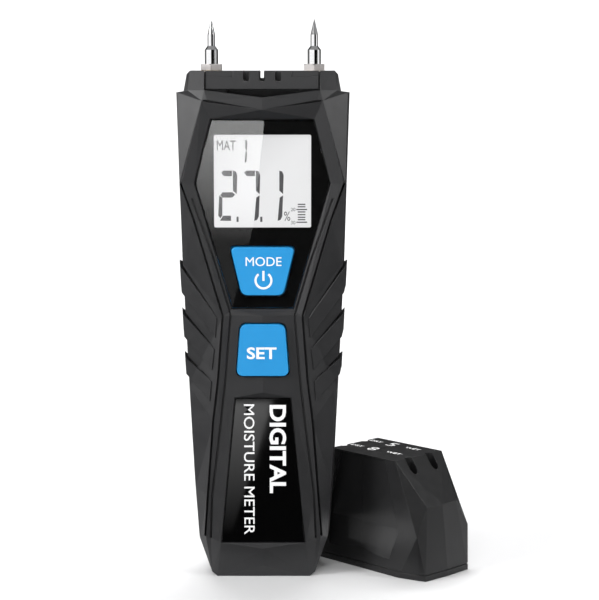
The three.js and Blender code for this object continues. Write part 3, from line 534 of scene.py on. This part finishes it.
# ---------------------------------------------------------------------------------------------
# Battery tray: two AAA cells in printed wraps, side by side, between sprung contacts of
# nickel-plated steel that are soldered to the two leads.
wrap = finish("battery wrap", (0.02, 0.07, 0.24), 0.3)
tint(wrap, speckle(wrap, 30 * MM, 0, (0.1, 0.1, 2)), (0.01, 0.012, 0.02), (0.03, 0.09, 0.3))
wear(wrap, speckle(wrap, 3 * MM, 3), 0.25, 0.4)
for name in ("left_cell", "right_cell"):
    dress(name, wrap)
    round_edges(nodes[name], 0.15 * MM, 30)
for name in ("contact_bridge", "contact_plus", "contact_minus"):
    dress(name, satin_nickel)
dress("battery_lead_red", red_sleeve)
dress("battery_lead_black", black_sleeve)

# ---------------------------------------------------------------------------------------------
# Case screws: four cross-head thread-forming screws, driven from the back into posts of the front
# housing.
for number in (1, 2, 3, 4):
    dress(f"case_screw_{number}", zinc)

# ---------------------------------------------------------------------------------------------
# Protective cap: a moulded ABS hood for the pins with a finger recess on each long face. A small
# board inside carries the resistors that check the meter through the holes beside the top.
CAP_DARK = (0.008, 0.008, 0.0085)
CAP_LIGHT = (0.011, 0.011, 0.0115)
CAP_X, CAP_Y, CAP_TURN = 37.2, 9.2, -45.5
cap_plastic = moulded("cap plastic", CAP_DARK, CAP_LIGHT, 0.33, 0.42, 0.005 * MM, 0.2 * MM)
cap_plastic.node_tree.nodes["Principled BSDF"].inputs["Specular IOR Level"].default_value = 0.36
dress("cap_shell", cap_plastic)
cap_frame = Matrix.Translation((CAP_X * MM, CAP_Y * MM, 0)) @ Matrix.Rotation(math.radians(CAP_TURN), 4, "Z")
cap_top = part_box("cap_shell")[1].z / MM


def cap_mark(name, words, along_range, across_range, weight):
    """Print on top of the cap, within the given ranges in mm along and across it."""

    def place(mesh):
        for v, along, across in list(fitted(mesh, along_range, across_range)):
            v.co = (along * MM, across * MM, (cap_top + PRINT_DEPTH * v.co.z) * MM)
        mesh.transform(cap_frame)

    return to_piece(type_set(name, words, weight, 3), name, place)


for row, across, level in (("near", -2.4, "8"), ("far", 6.2, "5")):
    for part, words, along_range, half, weight in (
        ("low", "DRY", (-12.2, -7.4), 0.75, 0.02),
        ("level", level, (-4.6, -1.6), 2.0, 0.0),
        ("high", "WET", (2.4, 8.2), 0.75, 0.02),
    ):
        name = f"{row}_{part}_print"
        mark = cap_mark(name, words, along_range, (across - half, across + half), weight)
        give(mark, print_white, "cap")

dress("check_board", laminate)
bands = finish("resistor lacquer", (0.55, 0.4, 0.2), 0.35)
tint(bands, speckle(bands, 1.4 * MM, 0, (1, 1, 0.2)), (0.35, 0.2, 0.08), (0.7, 0.55, 0.32))
for number in (1, 2, 3, 4):
    dress(f"check_contact_{number}", turned_brass)
for number in (1, 2):
    dress(f"check_resistor_{number}", bands)

# ---------------------------------------------------------------------------------------------
# Studio: a sweep of pale paper for floor and backdrop. Soft light comes from the left, the right,
# the front and above, with one more light on the backdrop.
scene = bpy.context.scene
scene.view_settings.view_transform = "Standard"

sweep_mesh = bpy.data.meshes.new("sweep")
FLOOR_FRONT, FLOOR_BACK, WALL_TOP, CURVE = -1.6, 1.6, 2.2, 0.6
HALF_WIDTH = 2.5
CURVE_STEPS = 12
profile = [(FLOOR_FRONT, 0.0), (FLOOR_BACK - CURVE, 0.0)]
for k in range(1, CURVE_STEPS + 1):
    angle = math.radians(90 * k / CURVE_STEPS)
    profile.append((FLOOR_BACK - CURVE + CURVE * math.sin(angle), CURVE - CURVE * math.cos(angle)))
profile.append((FLOOR_BACK, WALL_TOP))
verts = [(side * HALF_WIDTH, y, z) for y, z in profile for side in (-1, 1)]
faces = [(2 * i, 2 * i + 1, 2 * i + 3, 2 * i + 2) for i in range(len(profile) - 1)]
sweep_mesh.from_pydata(verts, [], faces)
sweep_mesh.polygons.foreach_set("use_smooth", [True] * len(faces))
sweep = bpy.data.objects.new("sweep", sweep_mesh)
scene.collection.objects.link(sweep)
pale = finish("pale paper", (0.61, 0.61, 0.614), 0.8, 0.2)
wear(pale, speckle(pale, 0.05), 0.7, 0.9)
sweep_mesh.materials.append(pale)

world = bpy.data.worlds.new("studio")
world.use_nodes = True
world.node_tree.nodes["Background"].inputs["Color"].default_value = (1, 1, 1, 1)
world.node_tree.nodes["Background"].inputs["Strength"].default_value = 0.3
scene.world = world


def softbox(name, place, aim, width, height, power, spread=180):
    """A rectangular lamp that shines from place towards aim; spread is its beam in degrees."""
    light = bpy.data.lights.new(name, "AREA")
    light.shape = "RECTANGLE"
    light.size = width
    light.size_y = height
    light.energy = power
    light.spread = math.radians(spread)
    lamp = bpy.data.objects.new(name, light)
    lamp.location = place
    lamp.rotation_euler = (Vector(aim) - Vector(place)).to_track_quat("-Z", "Y").to_euler()
    lamp.visible_camera = False
    scene.collection.objects.link(lamp)


NARROW = 50
softbox("left_softbox", (-0.95, -0.5, 0.62), (0, 0, 0.15), 0.4, 0.45, 1.35, NARROW)
softbox("right_softbox", (0.95, -0.45, 0.6), (0, 0, 0.15), 0.3, 0.4, 0.65, NARROW)
softbox("front_softbox", (-0.1, -0.75, 0.62), (0, 0, 0.17), 0.5, 0.25, 0.42, NARROW)
softbox("top_softbox", (0, 0.7, 1.25), (0, 0.5, 0), 1.2, 0.8, 11)
softbox("backdrop_light", (0, 0.9, 1.6), (0, 1.6, 0.5), 1.6, 0.6, 34)


def card(name, corners, axis="Z", brightness=None):
    """A sheet that only shows in reflections: black, or glowing between two (place, strength) pairs."""
    mesh = bpy.data.meshes.new(name)
    mesh.from_pydata(corners, [], [range(len(corners))])
    mat = bpy.data.materials.new(name)
    mat.use_nodes = True
    tree = mat.node_tree
    tree.nodes.clear()
    out = tree.nodes.new("ShaderNodeOutputMaterial")
    glow = tree.nodes.new("ShaderNodeEmission")
    glow.inputs["Strength"].default_value = 0
    if brightness:
        (low, dim), (high, bright) = brightness
        place = tree.nodes.new("ShaderNodeTexCoord")
        parts = tree.nodes.new("ShaderNodeSeparateXYZ")
        grade = tree.nodes.new("ShaderNodeMapRange")
        grade.inputs["From Min"].default_value = low
        grade.inputs["From Max"].default_value = high
        grade.inputs["To Min"].default_value = dim
        grade.inputs["To Max"].default_value = bright
        tree.links.new(place.outputs["Object"], parts.inputs["Vector"])
        tree.links.new(parts.outputs[axis], grade.inputs["Value"])
        tree.links.new(grade.outputs["Result"], glow.inputs["Strength"])
    tree.links.new(glow.outputs["Emission"], out.inputs["Surface"])
    mesh.materials.append(mat)
    sheet = bpy.data.objects.new(name, mesh)
    scene.collection.objects.link(sheet)
    for ray in ("camera", "diffuse", "shadow", "transmission"):
        setattr(sheet, "visible_" + ray, False)


# Two graded cards, beside the camera and on the floor, give the window and the nameplate their
# slanted sheen. Black cards in front, behind and below keep the rest of the gloss dark.
WINDOW_SHEEN = [
    (-0.0065, 0.15), (-0.0101, 0.1165), (-0.0171, 0.0527), (-0.0298, 0.0043),
    (-0.058, 0.0043), (-0.058, 0.15),
]
PLATE_SHEEN = [(-0.001, -0.292), (-0.0091, -0.117), (-0.012, -0.05), (-0.03, -0.05), (-0.03, -0.292)]
LEDGE_SHEEN = [(-0.02, 0.008), (-0.02, 0.015), (0.012, 0.015), (0.012, 0.008)]
card("window_sheen", [(x, -0.56, z) for x, z in WINDOW_SHEEN], "Z", ((0.045, 0.6), (0.117, 9)))
card("plate_sheen", [(x, y, 0.0006) for x, y in PLATE_SHEEN], "Y", ((-0.06, 0), (-0.29, 5.5)))
# A graded card between the meter and the cap paints a reflected sheen on the ledge of the cap's long face.
card("ledge_sheen", [(0.0256, y, z) for y, z in LEDGE_SHEEN], "Y", ((0.006, 0.1), (-0.012, 1.6)))
card("front_flag", [(x, -0.6, z) for x, z in bar(-0.12, 0.3, 0, 0.4)])
# Glowing and black cards paint the bright and dark bands reflected in the pins and their needles.
PIN_LOW, PIN_HIGH = 0.14, 0.2
for name, plan, strength in (
    ("pin_sheen_left", [(0.01, -0.585), (-0.3, -0.5), (-0.58, 0)], 1.3),
    ("pin_flag", [(0.04, -0.585), (0.4, -0.42), (0.54, -0.2)], 0),
    ("pin_sheen_right", [(0.55, -0.18), (0.58, 0.02)], 1.2),
):
    low = [(x, y, PIN_LOW) for x, y in plan]
    high = [(x, y, PIN_HIGH) for x, y in reversed(plan)]
    card(name, low + high, "Z", ((0, strength), (1, strength)))
for name, x0, x1, strength in (("needle_sheen", -0.3, -0.005, 0.7), ("needle_flag", 0.0, 0.3, 0.02)):
    corners = [(x, -0.42, z) for x, z in bar(x0, x1, 0.24, 0.52)]
    card(name, corners, "Z", ((0, strength), (1, strength)))
card("back_flag", [(x, 0.12, z) for x, z in bar(-0.3, 0.3, 0, 0.3)])
card("floor_flag", [(x, y, 0.0003) for x, y in bar(-0.6, 0.6, FLOOR_FRONT, -0.02)])

# The camera stands in front with a long lens and looks a little down.
LOOKS_DOWN = 7.595
camera_data = bpy.data.cameras.new("camera")
camera_data.lens = 108
camera_data.sensor_width = 36
camera = bpy.data.objects.new("camera", camera_data)
camera.location = (0.0107, -0.530, 0.15245)
camera.rotation_euler = (math.radians(90 - LOOKS_DOWN), 0, 0)
scene.collection.objects.link(camera)
scene.camera = camera
